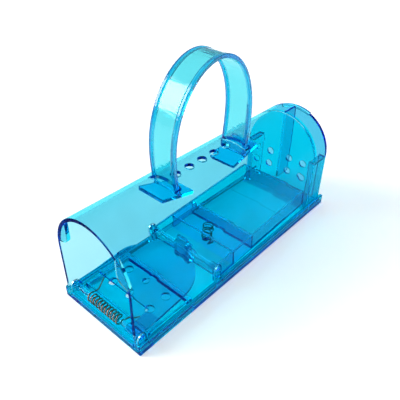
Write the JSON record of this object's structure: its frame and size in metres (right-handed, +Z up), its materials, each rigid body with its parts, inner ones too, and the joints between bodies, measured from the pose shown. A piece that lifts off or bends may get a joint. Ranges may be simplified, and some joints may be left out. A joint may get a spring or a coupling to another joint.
{
  "type": "live catch trap",
  "caption": "Clear arched tunnel on a tray, with a sprung drop-up door, a see-saw trigger pedal, a lift-out bait cap and a strap handle.",
  "frame": {"origin": "centre of the tray's underside, which is also the bottom centre of the whole trap's box", "axes": "+Y along the tunnel from the door mouth to the bait cap, +X to the right seen from the mouth, +Z up"},
  "size_m": [0.0588, 0.17, 0.1213],
  "materials": {
    "tray_plastic": "transparent blue moulded plastic, polished",
    "tunnel_plastic": "transparent pale blue moulded plastic, polished",
    "mechanism_plastic": "transparent blue moulded plastic, polished",
    "rod_plastic": "transparent cyan plastic rod",
    "handle_plastic": "transparent blue flexible plastic, glossy",
    "spring_steel": "dark drawn spring wire with a coppery sheen"
  },
  "bodies": {
    "housing": {"base_tray": "tray_plastic", "tunnel_cover": "tunnel_plastic", "carry_handle": "handle_plastic", "door_axle": "rod_plastic", "pedal_axle": "rod_plastic", "door_spring": "spring_steel", "trigger_spring": "spring_steel"},
    "door": {"door_flap": "mechanism_plastic"},
    "pedal": {"trigger_pedal": "mechanism_plastic"},
    "cap": {"bait_cap": "tunnel_plastic"}
  },
  "joints": [
    {"name": "door_hinge", "type": "hinge", "parent": "housing", "child": "door", "pos_m": [0, -0.0809, 0.008], "axis": [1, 0, 0], "range_deg": [0, 85], "deforming": ["door_spring"]},
    {"name": "pedal_pivot", "type": "hinge", "parent": "housing", "child": "pedal", "pos_m": [0, -0.0249, 0.013], "axis": [1, 0, 0], "range_deg": [-3.4, 0], "stiffness_Nm_per_rad": 0.05, "springref_deg": 8.59, "deforming": ["trigger_spring"]},
    {"name": "cap_lift", "type": "slide", "parent": "housing", "child": "cap", "axis": [0, 0, 1], "range_m": [0, 0.033]}
  ]
}
